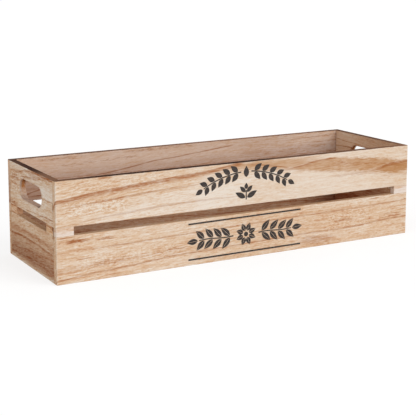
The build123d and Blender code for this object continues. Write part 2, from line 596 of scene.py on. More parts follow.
    def singe_hand_hole(self, colour):
        """Dulls the walls of the hand hole, singes its back end and blackens the foot of its front end."""
        wood = self.wood
        away, back, up = self.hand_hole()
        back_end = self.smooth(back, *self.BACK_END)
        bare = back_end * self.smooth(up, *self.BARE_UP) * 0.5
        walls = self.mix(self.larger(self.streak * 0.35, bare), paint(wood.hole_wall), colour)
        middle = back_end * self.smooth(self.inward, *self.SINGED_INWARD)
        middle = middle * self.smooth(self.inward, *self.SINGED_PALES, 1.0, 0.3)
        singed = middle * self.smooth(up, *self.SINGED_UP) * self.smooth(self.fleck, 0.0, 1.0, 0.75, 1.0)
        walls = self.stain(walls, singed, wood.singe)
        spared = self.BURN_SPARED * (1 - self.board.burn)
        burnt = middle * self.smooth(up + self.inward, spared, spared + self.BURN_GROWS, 0.0, 0.9)
        walls = self.stain(walls, burnt, wood.seam)
        front_end = self.fall(back, *self.FRONT_END)
        soot = front_end * self.fall(up, *self.SOOT_UP) * 0.85
        walls = self.stain(walls, soot, wood.scorch)
        colour = self.stain(colour, self.smooth(away, *self.HOLE_HALO, 0.16, 0.0), wood.growth_line)
        return self.mix(self.fall(away, *self.HOLE_WALL), colour, walls)

    def scorch_rim(self, colour):
        """Scorches the top edge."""
        wander = self.height + self.spread(self.jag, 0.25)
        top = self.smooth(wander, HEIGHT - self.SCORCH_START, HEIGHT - self.SCORCH_FULL)
        mottled = self.smooth(self.cloud + self.fleck, 0.3, 1.7, 0.8, 1.1)
        share = self.share(self.run_along(self.board.rim), mottled)
        return self.mix(top, colour, self.stain(paint(self.wood.toast), share, self.wood.scorch))

    def bare_wood(self, darkness):
        """The wood of the board before stains, dirt and scorching."""
        wood = self.wood
        stops = [(0.0, paint(wood.pale)), (0.45, paint(wood.tan)), (1.0, paint(wood.stroke))]
        colour = self.ramp(self.tone(darkness), stops)
        if self.board.bands:
            fine = (self.streak + self.thread + self.fibre) * 0.14
            honey = self.stain(paint(wood.honey), fine, wood.growth_line)
            colour = self.mix(self.strongest(self.board.bands, 0.84, 1.1), colour, honey)
        return self.stain(colour, darkness, wood.growth_line)

    def heart_stain_and_inner_shade(self, inner):
        """How much of the heart stain the board takes: up it, where it was cut near the heart of the tree,
        and on its inner face, as painted shade of the inside of the crate.
        """
        deepest = self.larger(self.run_up(self.board.heart), inner * self.run_along(self.board.inside))
        return self.share(deepest, self.smooth(self.cloud + self.streak, 0.2, 1.8, 0.86, 1.12))

    def colour(self, darkness):
        wood = self.wood
        inner = self.on_inner_face()
        colour = self.bare_wood(darkness)
        # On the inner faces, the heart stain by the inside amounts and the inside stain are painted shade of
        # the inside of the crate. The slot stain is painted shade in the slots.
        for share, over in (
            (1.0, shade(self.board.tint)),
            (self.heart_stain_and_inner_shade(inner), wood.heart),
            (inner, wood.inside),
            (self.on_end_grain(), wood.end_grain),
            (self.on_slot_face(), wood.slot_face_shade),
        ):
            colour = self.stain(colour, share, over, "MULTIPLY")
        colour = self.stain(colour, self.seams(), wood.seam)
        if self.is_end and "upper" in self.board.node:
            colour = self.singe_hand_hole(colour)
        if self.board.rim:
            colour = self.scorch_rim(colour)
        return colour

    def finish(self, shader):
        """Feeds the colour, the roughness and the relief of the wood to its shader."""
        darkness = self.strongest(self.board.lines)
        self.feed(shader.inputs["Base Color"], self.colour(darkness))
        fine = self.streak * 0.5 + self.fibre * 0.5
        rough = self.wood.roughness
        self.feed(shader.inputs["Roughness"], self.smooth(fine, 0.0, 1.0, rough + 0.12, rough - 0.06))
        shader.inputs["Specular IOR Level"].default_value = 0.0
        relief = fine - self.pore * 1.2 - darkness * 0.7
        sources = {"Distance": 0.1 * MM, "Strength": 0.55, "Height": relief}
        bump = self.value("ShaderNodeBump", sources, "Normal")
        self.feed(shader.inputs["Normal"], bump)


def new_material(name):
    """A material and its shader."""
    material = bpy.data.materials.new(name)
    material.use_nodes = True
    return material, material.node_tree.nodes["Principled BSDF"]


def dress(node, material):
    """Gives a piece of the frame its material."""
    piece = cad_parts[node]
    piece.data.materials.clear()
    piece.data.materials.append(material)


def finish_boards(context, *boards):
    """Gives each board of the frame its own wood."""
    for board in boards:
        material, shader = new_material(board.node)
        BoardPattern(material.node_tree, board, context.scene.crate_wood).finish(shader)
        dress(board.node, material)
    return {"FINISHED"}


def drawn_lines(seed, length, bottom, top, count):
    """Growth lines for a board that no picture shows: drawn by chance, but the same each time."""
    draw = random.Random(seed)
    lines = []
    for i in range(count):
        height = bottom + (top - bottom) * (i + draw.uniform(0.2, 0.8)) / count
        climb = draw.uniform(-3, 7)
        belly = draw.uniform(-2, 2)
        points = [(0, height), (length / 2, height + climb / 2 + belly), (length, height + climb)]
        lines.append(
            Line(
                [(place, min(spot, HEIGHT - 0.5)) for place, spot in points],
                depth=draw.uniform(0.3, 0.75),
                core=draw.uniform(0.5, 1.0),
                drop=draw.uniform(2, 8),
                ragged=draw.uniform(0.2, 1.2),
            )
        )
    return lines


# The front wall's upper board. Its lines climb from the left. One honey band lies in the middle at the top
# and three lie to the right of it, and the wood curls at the left and beside them.
FRONT_UPPER = Board(
    node="front_upper_board",
    bend=[(0, 20), (45, 24.5), (100, 29), (165, 33), (260, 37), (330, 34), (400, 35), (500, 32)],
    warmth=[(0, 0.35), (120, 0.28), (200, 0.24), (270, 0.18), (340, 0.12), (430, 0.15), (465, 0.22),
            (500, 0.26)],
    lines=(
        Line([(0, 96.1), (22, 98.2), (44, 101.3), (78, 104), (111, 106.8), (144, 109), (198, 113),
              (240, 119)],
             depth=0.62, core=3.4, body=0.66, drop=10, edge=0.6, end=252),
        Line([(0, 86.9), (22, 88.9), (44, 90.9), (72, 92.8), (122, 96.4), (170, 98.3), (230, 101)],
             depth=0.44, core=1.5, edge=0.6, end=230, taper=130),
        Line([(0, 66.5), (22, 68.3), (44, 71.7), (78, 74.4), (106, 76.1), (133, 77.8), (170, 78.7),
              (300, 77)],
             depth=0.3, core=1.4, body=0.3, drop=3.5, edge=0.8, end=300, taper=150),
        Line([(0, 117.4), (20, 117)], core=0.5, drop=2, ragged=1.5, start=0, end=16, taper=6),
        Line([(40, 119), (80, 119)], depth=0.6, core=1.2, ragged=1.5, start=50, end=72, taper=8),
        Line([(250, 117), (262, 115.5), (280, 113), (298, 109.6), (312, 106)],
             core=1.2, body=0.4, drop=4, start=246, end=322),
        Line([(300, 105.2), (312, 105.6), (330, 107.7), (341, 110), (352, 111.8), (363, 112.8),
              (380, 113.3), (400, 112)],
             depth=0.62, core=1.4, body=0.4, drop=5, start=296, end=392, taper=20),
        Line([(440, 91.4), (447, 92.2), (458, 95), (474, 97.8), (491, 99), (500, 99.4)],
             depth=0.58, core=2.8, body=0.5, drop=12, edge=0.8, ragged=1.2, start=434, taper=26),
        Line([(405, 90), (430, 90.8), (450, 91.2)], depth=0.42, drop=1.6, start=405, end=456, taper=12),
        zone([(366, 90), (404, 92), (458, 93)],
             foot=[(366, 86), (404, 86), (458, 84)],
             depth=0.2, feather=4, start=360, end=470, taper=30),
        zone([(450, 85), (500, 85)], depth=0.16, drop=8, start=446, taper=24),
        Line([(380, 107), (440, 101), (500, 97)], depth=0.3, core=1, drop=4, ragged=3, start=376, end=480),
    ),
    bands=(
        zone([(205, 117), (240, 119), (300, 119), (335, 118), (380, 118)],
             foot=[(205, 113), (240, 108), (270, 105), (300, 103), (335, 104), (380, 112)],
             depth=0.7, feather=5, edge=2.5, start=196, end=380, taper=60),
        zone([(296, 105), (312, 105.4), (330, 107.6), (341, 110), (352, 111.8), (363, 112.8), (380, 113.3),
              (400, 112)],
             foot=[(296, 102.6), (315, 101), (330, 99), (352, 96.4), (371, 94), (400, 92)],
             depth=0.77, feather=5, edge=0.8, ragged=2, start=296, end=420, taper=34),
        zone([(350, 111), (396, 111), (414, 110.4), (427, 109.2), (441, 108), (458, 106.2), (474, 103.4),
              (486, 100.6), (500, 99)],
             foot=[(350, 96), (378, 94), (391, 92.4), (427, 91.6), (441, 91), (450, 92), (462, 96),
                   (474, 98), (500, 99)],
             depth=0.88, feather=3, edge=2.4, ragged=3.6, start=350, taper=72),
        zone([(440, 91.8), (447, 92.8), (458, 95.4), (474, 98.2), (491, 99.4), (500, 99.8)],
             foot=[(440, 88.6), (455, 86), (469, 83.6), (481, 82.6), (500, 85)],
             depth=1.0, feather=5, edge=1.4, start=430, taper=20),
    ),
    pales=(
        zone([(30, 88), (90, 91), (160, 94)], depth=0.22, drop=11, edge=3, ragged=0.3, start=24, end=170),
        zone([(20, 74), (60, 77), (90, 81), (120, 85), (160, 90), (240, 92)],
             foot=[(20, 66), (240, 66)],
             feather=2, ragged=0.3, start=20, end=260, taper=40),
        zone([(150, 96), (260, 100)], depth=0.3, drop=12, edge=4, ragged=2, start=140, end=300),
    ),
    curls=(Curl(4, 96, 76, 96, 0.34), Curl(6, 150, 100, 119, 0.16), Curl(366, 404, 96, 114, 0.5)),
    figure=[(0, 0.95), (150, 0.9), (260, 0.7), (340, 0.5), (430, 0.5), (500, 0.75)],
    seed=1,
    joint=[(0, 0.05), (80, 0.05), (86, 0.5), (91, 0.55), (95, 0.1), (120, 0.05)],
    rim=[(0, 0.35), (25, 0.5), (60, 1.0), (160, 0.92), (210, 1.0), (260, 1.0), (300, 0.55), (400, 0.42),
         (500, 0.04)],
)

# The front wall's lower board: even tan wood with thin lines and a few red brown streaks
FRONT_LOWER = Board(
    node="front_lower_board",
    bend=[(0, 20), (100, 24.5), (170, 27), (330, 30), (419, 30.6), (500, 34)],
    warmth=[(0, 0.35), (120, 0.28), (170, 0.29), (250, 0.35), (340, 0.4), (430, 0.39), (500, 0.36)],
    lines=(
        Line([(10, 49), (40, 48.8)],
             depth=0.8, core=2.4, drop=5, edge=1.2, ragged=2.4, start=8, end=44, taper=12),
        Line([(44, 48), (75, 48.4)], depth=0.66, core=1.4, edge=1, ragged=2, start=44, end=74, taper=10),
        Line([(0, 54), (30, 54.2)], depth=0.45, drop=2, edge=0.6, ragged=1.4, start=2, end=24, taper=6),
        Line([(0, 37.2), (44, 37.8), (89, 38.3), (167, 40.2), (330, 43.3), (374, 43.6), (441, 45),
              (500, 47.2)],
             depth=0.38, core=1.2, drop=2.6, edge=0.6, start=10, taper=80),
        Line([(24, 27), (42, 27.6)], depth=0.35, drop=2, edge=0.8, start=22, end=46, taper=8),
        Line([(40, 22), (60, 21.6), (90, 22.6)],
             depth=0.55, core=0.5, body=0.5, drop=5, edge=1, ragged=5, start=36, end=98, taper=14),
        Line([(40, 17.4), (90, 19)], core=0.7, drop=2.5, ragged=3, start=40, end=92, taper=14),
        Line([(130, 23.6), (165, 24.6)], core=0.6, ragged=3, start=130, end=172, taper=12),
        Line([(0, 4.6), (9, 5.6), (44, 8.9), (78, 10.6), (111, 12.8), (150, 15.6), (170, 16.1), (330, 19.4),
              (419, 20), (452, 22.8), (500, 24.4)],
             depth=0.46, core=1.2, drop=3.4, edge=0.6),
        zone([(0, 18), (60, 21), (140, 24)],
             depth=0.14, drop=9, feather=5, edge=3, ragged=4, end=176, taper=30),
        zone([(380, 31), (400, 31.6), (415, 30)], depth=0.42, drop=5, start=376, end=418, taper=14),
        Line([(455, 30), (475, 31), (495, 28)],
             depth=0.55, core=0.6, drop=2, ragged=2, start=455, end=495, taper=12),
        Line([(458, 26), (478, 27), (496, 26)], core=0.6, drop=2, ragged=2, start=456, end=496, taper=12),
        zone([(320, 14), (350, 14.6), (385, 12)],
             foot=[(320, 3), (350, 2), (385, 2)],
             depth=0.4, feather=5, edge=3, start=318, end=392, taper=26),
        Line([(436, 53.4), (456, 53.6)], depth=0.6, core=0.7, drop=1.6, start=436, end=456, taper=6),
    ),
    pales=(
        zone([(330, 56), (500, 56)],
             depth=0.28, drop=10, feather=4, edge=0.4, ragged=0.3, start=310, taper=40),
        zone([(300, 19), (430, 20)],
             depth=0.36, drop=15, feather=4, edge=0.4, ragged=0.3, start=310, end=456, taper=34),
    ),
    curls=(Curl(366, 448, 18, 44, 0.22), Curl(20, 160, 10, 34, 0.16)),
    seed=3,
    joint=[(0, 0.08), (34, 0.08), (39, 0.4), (42, 0.1), (50, 0.1), (54, 0.6), (57, 0.6), (120, 0.6)],
)

# The left end: tan wood above, and below it a board from near the heart of the tree, darkest near its foot
LEFT_UPPER = Board(
    node="left_end_upper_board",
    bend=[(0, 26), (80, 21), (160, 14)],
    warmth=[(0, 0.32), (60, 0.22), (110, 0.32), (160, 0.38)],
    heart=[(0, 0.0), (70, 0.0), (104, 0.02), (110, 0.06), (120, 0.02)],
    inside=[(0, 0.1), (160, 0.2)],
    lines=(
        Line([(0, 119), (40, 118.8), (84, 119)], depth=0.85, core=1.8, drop=3.4, ragged=1, end=92, taper=24),
        Line([(20, 118.8), (60, 118.2), (88, 117.2), (100, 115.6), (108, 113.4), (117, 112.2), (128, 111),
              (160, 110.8)],
             depth=0.56, core=1.5, edge=0.8, ragged=1.4, start=30, end=156, taper=30),
        zone([(100, 113), (128, 111)], depth=0.34, drop=5, edge=1.5, ragged=2, start=98, end=132, taper=12),
        zone([(8, 119), (90, 118)],
             foot=[(8, 114.5), (30, 114), (60, 110), (90, 112)],
             depth=0.34, feather=3, start=6, end=94),
        Line([(40, 115.5), (60, 113.4), (90, 109.6), (116, 106)], core=1.2, start=36, end=120),
        Line([(46, 112), (70, 110.6), (100, 107.4)], depth=0.45, core=0.9, start=46, end=106),
        Line([(116, 105.8), (156, 104.6)], depth=0.35, core=1.2, ragged=2, start=114, end=158),
        Line([(112, 101.6), (156, 102)], core=2.4, drop=5, ragged=2, start=112, end=158),
        Line([(118, 95.4), (156, 94.6)], depth=0.35, core=1.4, drop=4, ragged=2, start=118, end=158),
        Line([(6, 73.4), (20, 72.8), (40, 71.8), (56, 70)], depth=0.66, core=1.1, drop=2.4, end=60, taper=14),
        Line([(40, 71.6), (105, 68.6)], depth=0.35, core=0.6, drop=2, start=40, end=110),
        Line([(122, 68.6), (156, 70.4)], depth=0.6, core=3, drop=6, edge=1.2, ragged=3, start=122, end=158),
        Line([(6, 93.8), (42, 93)], core=0.9, drop=2, ragged=1, start=4, end=44, taper=8),
        zone([(0, 70), (44, 69)], depth=0.2, drop=4, end=50, taper=20),
    ),
    pales=(
        zone([(0, 108), (44, 107)], drop=17, feather=6, end=54),
        zone([(80, 119), (160, 120)],
             foot=[(80, 117.6), (96, 116.6), (106, 114.6), (117, 113), (128, 111.8), (160, 111.6)],
             depth=0.3, feather=1, edge=1, ragged=0.3, start=76, taper=20),
    ),
    curls=(Curl(96, 156, 84, 112, 0.3),),
    slant=-0.8,
    seed=7,
    joint=[(0, 0.04), (80, 0.04), (86, 0.35), (91, 0.4), (95, 0.06), (120, 0.04)],
    rim=[(0, 0.25), (40, 0.35), (62, 0.8), (80, 1.0), (105, 1.0), (125, 0.85), (160, 0.85)],
)

LEFT_LOWER = Board(
    node="left_end_lower_board",
    bend=[(0, 36), (80, 25), (160, 12)],
    warmth=[(0, 0.46), (60, 0.45), (160, 0.47)],
    layers=[(0, -0.22), (2, -0.14), (4, -0.02), (6, 0.06), (9, 0.12), (18, 0.14), (30, 0.08), (38, 0.1),
            (44, 0.0), (48, -0.05), (56, -0.08)],
    heart=[(0, 0.0), (2, 0.05), (4, 0.3), (6, 0.5), (12, 0.64), (18, 0.6), (24, 0.42), (32, 0.3),
           (40, 0.16), (48, 0.0)],
    inside=[(0, 0.3), (160, 0.4)],
    lines=(
        zone([(0, 41.6), (80, 42.2), (150, 42)], depth=0.42, drop=5.5, edge=1.5, ragged=2, end=156),
        Line([(0, 31), (20, 32.4), (70, 34), (120, 32.8), (160, 29.6)],
             depth=0.6, core=1.6, drop=4, edge=0.8, ragged=1, start=-60, taper=170),
        Line([(0, 27), (80, 21), (160, 13)], depth=0.25, core=1.2, drop=4, ragged=1.5),
        Line([(0, 18), (80, 12), (160, 7)], depth=0.4, core=1.4, drop=4, ragged=1.2),
        Line([(0, 13), (70, 10), (160, 8)], depth=0.3, core=1.2, ragged=1.0),
    ),
    pales=(
        Line([(0, 33.6), (20, 35), (70, 36.6), (120, 35.4), (160, 32)],
             depth=0.4, core=1.6, body=0.2, drop=2.5),
    ),
    slant=-0.8,
    seed=8,
    joint=[(0, 0.06), (34, 0.06), (39, 0.35), (42, 0.08), (50, 0.08), (54, 0.5), (57, 0.5), (120, 0.5)],
)

# The right end, which the photograph shows only inside, above the hand hole
RIGHT_UPPER = Board(
    node="right_end_upper_board",
    bend=[(0, 20), (160, 26)],
    warmth=[(0, 0.46), (80, 0.45), (110, 0.38), (160, 0.33)],
    inside=[(0, 0.1), (70, 0.1), (100, 0.0), (160, 0.0)],
    tint="#fff9f5",
    lines=drawn_lines(11, WIDTH, SLOT_TOP, HEIGHT, 5),
    figure=0.6,
    slant=0.8,
    seed=9,
    burn=1.0,
    rim=[(0, 0.12), (40, 0.4), (160, 0.45)],
)

# Its inner face takes more of the inside stain toward the back: painted shade in the corner where it meets
# the back wall, which the slot shows.
RIGHT_LOWER = Board(
    node="right_end_lower_board",
    bend=[(0, 30), (160, 20)],
    warmth=[(0, 0.42), (60, 0.44), (100, 0.58), (160, 0.6)],
    layers=[(0, 0.1), (30, 0.1), (56, 0.0)],
    heart=[(0, 0.4), (20, 0.5), (40, 0.25), (56, 0.1)],
    inside=[(0, 0.2), (27, 0.35), (49, 0.65), (83, 0.77), (120, 0.97), (160, 1.0)],
    tint="#fff0e2",
    lines=drawn_lines(12, WIDTH, 0, SLOT_BOTTOM, 5),
    slant=0.8,
    seed=10,
)

# The back wall. The photograph shows its inner face above the front wall, and some of it through the slot.
BACK_UPPER = Board(
    node="back_upper_board",
    bend=[(0, 14), (130, 20), (230, 30), (300, 34), (500, 36)],
    warmth=[(0, 0.3), (100, 0.23), (250, 0.22), (340, 0.24), (430, 0.2), (500, 0.17)],
    layers=[(0, 0.0), (100, 0.0), (112, 0.02), (120, 0.07)],
    inside=[(0, 0.02), (200, 0.05), (300, 0.08), (345, 0.16), (390, 0.14), (430, 0.02), (500, 0.0)],
    heart=[(0, 0.5), (66, 0.5), (92, 0.4), (100, 0.22), (106, 0.08), (112, 0.0), (120, 0.0)],
    tint="#fef8f9",
    lines=(
        Line([(110, 87.6), (146, 91.4), (167, 94.4), (196, 99), (226, 101.2), (255, 104), (285, 107),
              (312, 109.6)],
             depth=0.56, core=0.9, drop=2, start=106, end=326),
        zone([(340, 101), (470, 101)], depth=0.14, drop=12, feather=5, ragged=0.3, start=326, end=480),
        Line([(10, 69.6), (22, 72.4), (41, 77.6), (60, 81)], depth=0.62, core=1.2, drop=5, end=64, taper=10),
        Line([(20, 113), (110, 114.6)], depth=0.42, drop=4, ragged=3, start=30, end=110),
        Line([(150, 115), (260, 115.6)], depth=0.42, drop=4, ragged=3, start=150, end=262),
        Line([(60, 104), (180, 108)], depth=0.35, ragged=3, start=60, end=180),
        Line([(400, 110), (500, 113)], depth=0.4, core=0.7, drop=2.4, ragged=1, start=400),
        Line([(430, 104), (500, 104)], depth=0.25, core=0.7, drop=2.4, ragged=1, start=430),
        *drawn_lines(21, LENGTH, SLOT_TOP, 92, 3),
    ),
    figure=[(0, 0.55), (300, 0.55), (400, 0.8), (500, 0.9)],
    slant=0.3,
    seed=11,
    rim=[(0, 0.6), (60, 0.45), (110, 0.5), (160, 0.45), (210, 0.22), (440, 0.18), (470, 0.45), (500, 0.55)],
)

# Its inner face, which the slot shows, takes much of the inside stain, most at the right end: painted shade
# of the low inside of the crate, deepest where the right end shades it.
BACK_LOWER = Board(
    node="back_lower_board",
    bend=[(0, 44), (250, 26), (500, 8)],
    warmth=[(0, 0.5), (340, 0.5), (450, 0.52), (500, 0.65)],
    inside=[(0, 0.58), (175, 0.54), (205, 0.44), (235, 0.42), (262, 0.5), (290, 0.55), (330, 0.62),
            (374, 0.52), (402, 0.36), (440, 0.3), (470, 0.5), (490, 0.85), (500, 1.0)],
    lines=(
        Line([(0, 54), (250, 40), (500, 24)], depth=0.35, core=0.7, drop=4),
        Line([(0, 42), (250, 30), (500, 16)], depth=0.6, drop=4),
        Line([(0, 30), (250, 19), (500, 6)], depth=0.45, core=0.7, drop=4),
        Line([(0, 18), (300, 8)], core=0.7, drop=4),
    ),
    slant=0.3,
    seed=12,
)

# The floor of the crate, guessed
BASE = Board(
    node="base_panel",
    bend=20.0,
    warmth=0.42,
    heart=0.25,
    lines=drawn_lines(31, LENGTH, 0, HEIGHT, 6),
    slant=0.5,
    seed=13,
)

# What sets the four blocks that the photograph shows apart from plain ones. The left one at the front is two
# toned, and the right one nearly white.
SPACER_LOOKS = {
    "front_spacer_left": dict(
        warmth=0.02,
        layers=[(0, -0.1), (60.4, -0.1), (61.6, 0.24), (120, 0.28)],
        tint="#fcf9fb",
        joint=0.75,
    ),
    "front_spacer_right": dict(
        warmth=0.0,
        layers=[(0, -0.1), (61, -0.1), (65, 0.16), (120, 0.16)],
        figure=0.9,
        tint="#fcfafd",
    ),
    "left_end_spacer_front": dict(
        warmth=0.36,
        tint="#fff6ea",
        joint=[(0, 0.3), (59, 0.3), (62, 0.9), (120, 0.9)],
        lines=(
            Line([(6, 63.6), (20, 64.4), (32, 65.4)], core=2, ragged=2, end=34, taper=8),
        ),
    ),
    "left_end_spacer_back": dict(
        warmth=0.4,
        tint="#fcefe4",
        lines=(
            # The first line darkens the foot of the block along its joint with the lower board: painted
            # shadow of the gap there.
            Line([(110, 57), (160, 57)], depth=0.45, core=0.9, drop=1.4),
            Line([(126, 67), (158, 66)], depth=0.4, core=2, ragged=2, start=124),
        ),
    ),
}


def spacers():
    """The eight spacer blocks, each cut from another part of a plank."""
    walls = {("front", "back"): ("left", "right"), ("left_end", "right_end"): ("front", "back")}
    nodes = [f"{wall}_spacer_{side}" for pair, sides in walls.items() for wall in pair for side in sides]
    plain = dict(warmth=0.34, inside=0.3)
    return [
        Board(node=node, seed=20 + i, **{**plain, **SPACER_LOOKS.get(node, {})})
        for i, node in enumerate(nodes)
    ]


def brad_material(brads):
    """Steel stained brown by the wood round it."""
    material, shader = new_material("brad")
    p = Pattern(material.node_tree)
    stain = p.noise(p.times(p.vector(*p.place()), (1.6, 1.6, 1.6)))
    stained = p.smooth(stain, 0.35, 0.65)
    p.feed(shader.inputs["Base Color"], p.mix(stained, paint(brads.steel), paint(brads.tarnish)))
    p.feed(shader.inputs["Roughness"], p.smooth(stained, 0.0, 1.0, 0.42, 0.7))
    shader.inputs["Metallic"].default_value = 0.1
    return material


def ink_material(ink):
    """Matte ink, thin enough for the grain to show through it."""
    material, shader = new_material("ink")
    p = Pattern(material.node_tree)
    fibre, streak, _, fleck, pore = p.marks(p.vector(*p.place()))[:5]
    worn = p.smooth(fibre + streak + fleck * 0.6, 1.2, 2.4, 0.0, 0.75)
    worn = p.larger(worn, pore * 0.8)
    p.feed(shader.inputs["Base Color"], p.mix(worn, paint(ink.ink), paint(ink.worn_ink)))
    p.feed(shader.inputs["Roughness"], p.smooth(fibre, 0.0, 1.0, 0.55, 0.72))
    shader.inputs["Specular IOR Level"].default_value = 0.3
    return material


class Print:
    """A flat print on the front, drawn in millimetres from the crate's left end and the ground."""

    # How deep the back of the ink lies in the wood
    SUNK = 0.05
    # Below 1, the widest place of a leaf lies nearer to its foot than to its tip
    LEAF_BELLY = 0.8
    # How much of its width the stem of a sprig keeps, and how far up its share of the stem each pair sits
    STEM_TIP = 0.8
    PAIR_PLACE = 0.3
    # How far along a path the way ahead is read, as a share of it
    AHEAD = 0.01

    def __init__(self, name, settings):
        self.name = name
        self.settings = settings
        self.shape = bmesh.new()

    def strip(self, steps):
        """A strip of faces. Its corners lie at share 0 to 1 along it and at 0 or 1 across it."""
        made = bmesh.ops.create_grid(self.shape, x_segments=steps, y_segments=1, size=0.5)["verts"]
        bmesh.ops.translate(self.shape, verts=made, vec=(0.5, 0.5, 0))
        return made

    def place(self, corners, centre, angle):
        turn = Matrix.Translation((*centre, 0)) @ Matrix.Rotation(angle, 4, "Z")
        bmesh.ops.transform(self.shape, matrix=turn, verts=corners)

    def leaf(self, foot, angle, length, width, vein=0.0, steps=12):
        """A pointed leaf in two halves, with a bare vein between them."""
        for side in (-1, 1):
            half = self.strip(steps)
            for corner in half:
                outline = width / 2 * sin(pi * corner.co.x ** self.LEAF_BELLY)
                inner = min(vein / 2, outline)
                across = inner + (outline - inner) * corner.co.y
                corner.co = (corner.co.x * length, side * across, 0)
            self.place(half, foot, angle)

    def leaf_beside(self, point, gap, angle, length, width, vein=0.0):
        """A leaf whose foot lies a gap away from a point, so that bare wood parts it from its stem."""
        foot = (point[0] + gap * cos(angle), point[1] + gap * sin(angle))
        self.leaf(foot, angle, length, width, vein)

    def dot(self, centre, radius):
        made = bmesh.ops.create_circle(self.shape, cap_ends=True, segments=24, radius=radius)["verts"]
        self.place(made, centre, 0)

    def stem(self, path, start_width, end_width, steps=24):
        """A stem along a path, which gives a point for a share from 0 to 1."""
        nudge = 1e-3
        for corner in self.strip(steps):
            share = corner.co.x
            here = Vector(path(share))
            ahead = Vector(path(share + nudge)) - Vector(path(share - nudge))
            half = (start_width + (end_width - start_width) * share) / 2
            offset = ahead.orthogonal().normalized() * half * (2 * corner.co.y - 1)
            corner.co = (*(here + offset), 0)

    def sprig(self, path, pairs, lean, gap, first, last, vein=0.0):
        """A stem with pairs of leaves, whose (length, width) runs from the first pair to the last."""
        self.stem(path, STEM_WIDTH, STEM_WIDTH * self.STEM_TIP)
        for i in range(pairs + 1):
            share = (i + self.PAIR_PLACE) / pairs if i < pairs else 1.0
            here, ahead = Vector(path(share)), Vector(path(share + self.AHEAD))
            heading = atan2(ahead.y - here.y, ahead.x - here.x)
            length, width = Vector(first).lerp(Vector(last), share)
            for turn in (-1, 1) if i < pairs else (0,):
                self.leaf_beside(here, gap, heading + turn * lean, length, width, vein)

    def finish(self, material):
        """Lays the print on the front and gives it the thickness of its ink."""
        bmesh.ops.remove_doubles(self.shape, verts=self.shape.verts, dist=1e-4)
        lying = Matrix.Rotation(pi / 2, 4, "X")
        lifted = Matrix.Translation((-HALF_LENGTH, -HALF_WIDTH - self.settings.film / MM, 0))
        bmesh.ops.transform(self.shape, matrix=Matrix.Scale(MM, 4) @ lifted @ lying, verts=self.shape.verts)
        turned = [face for face in self.shape.faces if face.normal.y > 0]
        bmesh.ops.reverse_faces(self.shape, faces=turned)
        mesh = bpy.data.meshes.new(self.name)
        self.shape.to_mesh(mesh)
        self.shape.free()
        mesh.materials.append(material)
        piece = bpy.data.objects.new(self.name, mesh)
        bpy.context.scene.collection.objects.link(piece)
        thick = piece.modifiers.new("film", "SOLIDIFY")
        thick.thickness = self.settings.film + self.SUNK * MM
        thick.offset = -1
        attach(piece, "root")


# The print on the lower board: a leafy spray to each side of a flower, between two rules
PRINT_MIDDLE = 248.5
STEM_WIDTH = 1.6
RULE_HALF_LENGTH = 80.5
# The height of each rule at its left end and at its right end
RULES = ((50.9, 51.9), (7.0, 7.4))
SPRAY_HEIGHT = 29.5
SPRAY_START = 18.0
SPRAY_END = 66.0
SPRAY_WAVE = 0.6
PETALS = 8

# The print on the upper board: a garland in an arch over a seedling
ARCH_RADIUS = 119.0
ARCH_TOP = 108.0
ARCH_START = radians(3.5)
ARCH_END = radians(30)
SEEDLING_FOOT = 73.0
SEEDLING_HEIGHT = 12.0


def print_rules(settings, material):
    """The two thin rules, which climb a little to the right."""
    rules = Print("front_rules", settings)
    width = settings.rule / MM
    for left, right in RULES:
        start = Vector((PRINT_MIDDLE - RULE_HALF_LENGTH, left))
        end = Vector((PRINT_MIDDLE + RULE_HALF_LENGTH, right))
        rules.stem(lambda share: start.lerp(end, share), width, width, steps=1)
    rules.finish(material)


def print_spray(settings, material):
    """A flower with a leafy spray to each side of it."""
    spray = Print("front_spray", settings)
    middle = (PRINT_MIDDLE, SPRAY_HEIGHT)
    spray.dot(middle, radius=3.0)
    for i in range(PETALS):
        angle = 2 * pi * (i + 0.5) / PETALS
        spray.leaf_beside(middle, gap=4.3, angle=angle, length=10.5, width=6.6, vein=0.3)
    for side in (-1, 1):

        def path(share):
            out = SPRAY_START + (SPRAY_END - SPRAY_START) * share
            return PRINT_MIDDLE + side * out, SPRAY_HEIGHT + side * SPRAY_WAVE * sin(2 * pi * share)

        spray.sprig(path, pairs=4, lean=radians(45), gap=1.8, first=(17.5, 7.6), last=(15, 7.4), vein=0.3)
    spray.finish(material)


def print_garland(settings, material):
    """Two sprigs that part from a bud and run down to both sides in an arch."""
    garland = Print("front_garland", settings)
    for side in (-1, 1):

        def path(share):
            angle = ARCH_START + (ARCH_END - ARCH_START) * share
            return PRINT_MIDDLE + side * ARCH_RADIUS * sin(angle), ARCH_TOP - ARCH_RADIUS * (1 - cos(angle))

        garland.sprig(path, pairs=5, lean=radians(43), gap=1.8, first=(13, 6.9), last=(11, 6.2))
    garland.leaf((PRINT_MIDDLE, ARCH_TOP - 7), pi / 2, length=14, width=7.6)
    garland.finish(material)


def print_seedling(settings, material):
    """A small seedling under the arch."""
    seedling = Print("front_seedling", settings)

    def path(share):
        return PRINT_MIDDLE, SEEDLING_FOOT + SEEDLING_HEIGHT * share

    seedling.stem(path, STEM_WIDTH, STEM_WIDTH, steps=1)
    for share, lean, length, width in ((0.15, 62, 16, 6.8), (0.7, 46, 11, 5.4)):
        for side in (-1, 1):
            angle = pi / 2 - side * radians(lean)
            seedling.leaf_beside(path(share), gap=1.5, angle=angle, length=length, width=width)
    seedling.leaf(path(1.08), pi / 2, length=8, width=5.2)
    seedling.finish(material)


# Where the camera stood, fitted to the corners of the crate in the photograph
CAMERA_PLACE = (-0.6754, -1.1932, 0.3602)
CAMERA_AZIMUTH = radians(-29.126)
CAMERA_ELEVATION = radians(8.952)
CAMERA_LENS = 93.79
CAMERA_SHIFT = -0.18


